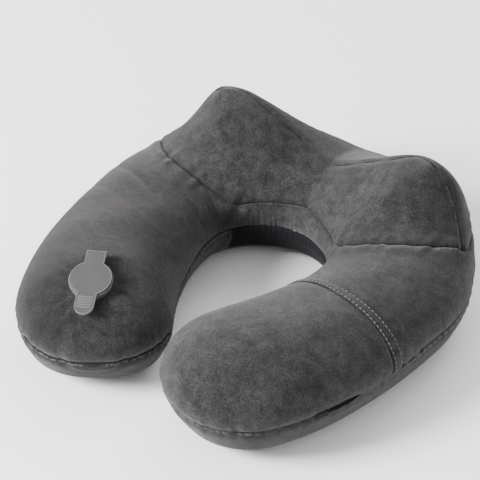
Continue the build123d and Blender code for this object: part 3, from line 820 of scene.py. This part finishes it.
def velour(name, dark, light, sheen=0.18):
    """Short pile: brushed patches a centimetre across over a fine fibre grain, with painted shade in the
    seams and over the left arm.
    """
    made, tree, shader = material(name, dark, 0.95)
    patches = ramp(tree, noise(tree, 110, 6, 0.72, 0.4), [(0.30, grey(0)), (0.72, grey(1))])
    broad = ramp(tree, noise(tree, 20, 4, 0.55, 0.3), [(0.36, grey(0.6)), (0.64, grey(1))])
    flecks = ramp(tree, noise(tree, 850, 3, 0.8), [(0.36, grey(0.2)), (0.62, grey(1))])
    fibre = noise(tree, 1500, 2, 0.7)
    base = mix(tree, "MIX", patches, dark, light)
    base = mix(tree, "MULTIPLY", 0.85, base, flecks)
    base = mix(tree, "MULTIPLY", 1.0, base, broad)
    # Painted shade: the colour is darkened over the left arm by the attribute read here.
    left_arm_shade = node(tree, "ShaderNodeAttribute", attribute_name="left_arm_shade").outputs["Fac"]
    base = mix(tree, "MULTIPLY", 1.0, base, ramp(tree, left_arm_shade, [(0, grey(0)), (1, grey(1))]))
    crease = node(tree, "ShaderNodeAttribute", attribute_name="crease").outputs["Fac"]
    # Painted shade: the colour goes near black where crease is above 0.5; below 0.5 it goes lighter, the
    # thread's own colour.
    base = mix(tree, "MIX", ramp(tree, crease, [(0.5, grey(0)), (1, grey(1))]), base, grey(0.004))
    base = mix(tree, "MIX", ramp(tree, crease, [(0, grey(1)), (0.5, grey(0))]), base, grey(0.12))
    tree.links.new(base, shader.inputs["Base Color"])
    shader.inputs["Sheen Weight"].default_value = sheen
    shader.inputs["Sheen Roughness"].default_value = 0.5
    shader.inputs["Sheen Tint"].default_value = (0.8, 0.78, 0.77, 1)
    shader.inputs["Specular IOR Level"].default_value = 0.08
    first = bump(tree, shader, patches, 0.25, 0.0010)
    bump(tree, shader, fibre, 0.6, 0.0007, first)
    return made


def plain_cloth(name, dark, light, weave=900, sheen=0.2):
    """Smooth knit or woven cloth with a fine grain."""
    made, tree, shader = material(name, dark, 0.8)
    soft = ramp(tree, noise(tree, 30, 3, 0.5), [(0.35, grey(0)), (0.7, grey(1))])
    tree.links.new(mix(tree, "MIX", soft, dark, light), shader.inputs["Base Color"])
    shader.inputs["Sheen Weight"].default_value = sheen
    shader.inputs["Specular IOR Level"].default_value = 0.1
    bump(tree, shader, noise(tree, weave, 2, 0.6), 0.25, 0.0004)
    return made


def edge_mask(tree, radius):
    """1 along a part's sharp edges and 0 on its faces, from a rounded normal."""
    rounded = node(tree, "ShaderNodeBevel", Radius=radius)
    rounded.samples = 8
    face = tree.nodes.new("ShaderNodeNewGeometry")
    angle = tree.nodes.new("ShaderNodeVectorMath")
    angle.operation = "DOT_PRODUCT"
    tree.links.new(rounded.outputs["Normal"], angle.inputs[0])
    tree.links.new(face.outputs["Normal"], angle.inputs[1])
    return ramp(tree, angle.outputs["Value"], [(0.80, grey(1)), (0.99, grey(0))])


def plastic(name, colour, roughness, specular=0.5, highlight_gain=1.0):
    """Satin moulded plastic with a slight uneven polish and a painted highlight along its sharp edges,
    their colour multiplied by the last argument.
    """
    made, tree, shader = material(name, colour, roughness)
    shader.inputs["Specular IOR Level"].default_value = specular
    worn = ramp(tree, noise(tree, 90, 3, 0.5), [(0.3, grey(0.85)), (0.7, grey(1))])
    body = mix(tree, "MULTIPLY", 1.0, colour, worn)
    # Painted highlight: the edges' colour, lighter than the body's.
    edge = tuple(channel * highlight_gain for channel in colour)
    painted_edge_highlight = mix(tree, "MIX", edge_mask(tree, 0.9 * MM), body, edge)
    tree.links.new(painted_edge_highlight, shader.inputs["Base Color"])
    limits = [(0.3, grey(roughness - 0.04)), (0.7, grey(roughness + 0.08))]
    rough = ramp(tree, noise(tree, 240, 2, 0.5), limits)
    tree.links.new(rough, shader.inputs["Roughness"])
    return made


def paint(piece, made, slot=None):
    """Gives a piece its one material. Its slot argument is not used."""
    piece.data.materials.clear()
    piece.data.materials.append(made)


# ---------------------------------------------------------------- camera

def add_camera():
    """The photograph's view of the pillow, from in front, above and a little to the right."""
    aim = Vector((-25.2, CENTRE_Y - 0.9, 40.0)) * MM
    azimuth, elevation, distance = math.radians(34.36), math.radians(36.5), 1.793
    level = Vector((math.sin(azimuth), -math.cos(azimuth), 0)) * math.cos(elevation)
    away = level + Vector((0, 0, math.sin(elevation)))
    camera = bpy.data.objects.new("camera", bpy.data.cameras.new("camera"))
    bpy.context.scene.collection.objects.link(camera)
    camera.location = aim + away * distance
    camera.rotation_euler = (-away).to_track_quat("-Z", "Y").to_euler()
    camera.data.sensor_width = 36
    camera.data.lens = 184.0
    camera.data.clip_start = 0.05
    bpy.context.scene.camera = camera


add_camera()

# ---------------------------------------------------------------- cover

rest, place, puff, normal, faces, on_seam = build_skin()
points, crease = shape_skin(rest, place, puff, normal, on_seam)
skins = panels(rest, place, points, faces, crease)
skin_tree = tree_of(rest)
hem_rows = {
    "hem_stitches_rear": HEM_S + STITCH_INSET,
    "hem_stitches_front": HEM_S + HEM_WIDTH - STITCH_INSET,
}
stitches = [seam_thread(name, at, skin_tree, points, normal) for name, at in hem_rows.items()]

VELOUR = velour("velour_top", (0.019, 0.0185, 0.0185), (0.066, 0.064, 0.064))
# Painted shade: the side band's velour is a darker copy of the top's.
VELOUR_SIDE_SHADED = velour("velour_side", (0.017, 0.0165, 0.0165), (0.054, 0.0525, 0.0525))
# Partly painted shade: the inner band is a smooth dark knit, and its near-black colour also stands in for
# the deep shade at the back of the U.
KNIT = plain_cloth("smooth_knit", (0.003, 0.0026, 0.0034), (0.006, 0.005, 0.007), sheen=0.02)
BASE = plain_cloth("base_weave", (0.030, 0.030, 0.032), (0.050, 0.050, 0.053), 600)
OWN_CLOTH = {
    "cover_inner_band": (KNIT, "smooth_band"),
    "cover_base_panel": (BASE, "base_cloth"),
    "cover_outer_band": (VELOUR_SIDE_SHADED, "velour_side"),
}
for name, piece in skins.items():
    paint(piece, *OWN_CLOTH.get(name, (VELOUR, "velour")))
THREAD = plain_cloth("stitch_thread", (0.07, 0.068, 0.068), (0.13, 0.127, 0.127), 1600)
for piece in stitches:
    paint(piece, THREAD, "binding")

# ---------------------------------------------------------------- CAD nodes that stay

# Painted highlight on the valve's edges, 3.6 times its colour.
SATIN = plastic("valve_satin", (0.055, 0.055, 0.057), 0.35, 0.3, highlight_gain=3.6)
FILM = plastic("bladder_satin", (0.20, 0.21, 0.22), 0.45)
BLACK = plastic("zip_black", (0.006, 0.006, 0.0065), 0.55, 0.12)
TAPE = plain_cloth("zip_tape_weave", (0.008, 0.008, 0.009), (0.016, 0.016, 0.017), 1400)
BOUND = plain_cloth("binding_weave", (0.02, 0.02, 0.022), (0.04, 0.04, 0.043), 1400)
LOOKS = [
    (SATIN, ("valve_base", "valve_deflate_plug", "valve_cap", "valve_check_flap", "valve_flap_clip")),
    (FILM, ("bladder_upper_film", "bladder_lower_film", "bladder_baffles")),
    (BLACK, ("zip_slider", "zip_pull_tab", "zip_end_stops", "zip_coil_upper", "zip_coil_lower")),
    (TAPE, ("zip_tape_upper", "zip_tape_lower")),
    (BOUND, ("valve_opening_binding",)),
]
EDGES = {"valve_cap": 0.5, "valve_deflate_plug": 0.45, "zip_slider": 0.15, "zip_pull_tab": 0.18}


def soften_edges(part, width):
    """Rounds a part's sharp edges."""
    bevel = part.modifiers.new("soft_edges", "BEVEL")
    bevel.width = width * MM
    bevel.segments = 3
    bevel.limit_method = "ANGLE"
    bevel.angle_limit = math.radians(40)


for look, names in LOOKS:
    for name in names:
        paint(frame["nodes"][name], look)
for name, width in EDGES.items():
    soften_edges(frame["nodes"][name], width)

# ---------------------------------------------------------------- floor and light

def add_floor():
    """Plain pale ground, far wider than the view."""
    mesh = bpy.data.meshes.new("floor")
    mesh.from_pydata([(-4, -4, 0), (4, -4, 0), (4, 4, 0), (-4, 4, 0)], [], [(0, 1, 2, 3)])
    look = material("floor_pale", (0.90, 0.90, 0.90), 0.9)[0]
    mesh.materials.append(look)
    floor = new_object("floor", mesh)


def area_light(name, at, aim, size, power):
    """Square soft light at one place that faces another, in metres and watts."""
    lamp = bpy.data.lights.new(name, "AREA")
    lamp.size, lamp.energy = size, power
    made = bpy.data.objects.new(name, lamp)
    bpy.context.scene.collection.objects.link(made)
    made.location = at
    made.rotation_euler = (Vector(at) - Vector(aim)).to_track_quat("Z", "Y").to_euler()


def add_world(strength):
    """Even white light from all round."""
    world = bpy.data.worlds.new("studio")
    bpy.context.scene.world = world
    world.use_nodes = True
    background = world.node_tree.nodes["Background"]
    background.inputs["Color"].default_value = (1, 1, 1, 1)
    background.inputs["Strength"].default_value = strength


add_floor()
area_light("key", (-1.15, -1.4, 1.1), (0, 0, 0), 0.8, 170)
area_light("fill", (1.5, -0.9, 1.0), (0, 0, 0.03), 1.6, 6)
area_light("back", (-0.2, 1.6, 1.3), (0, 0, 0.03), 1.4, 26)
add_world(1.05)
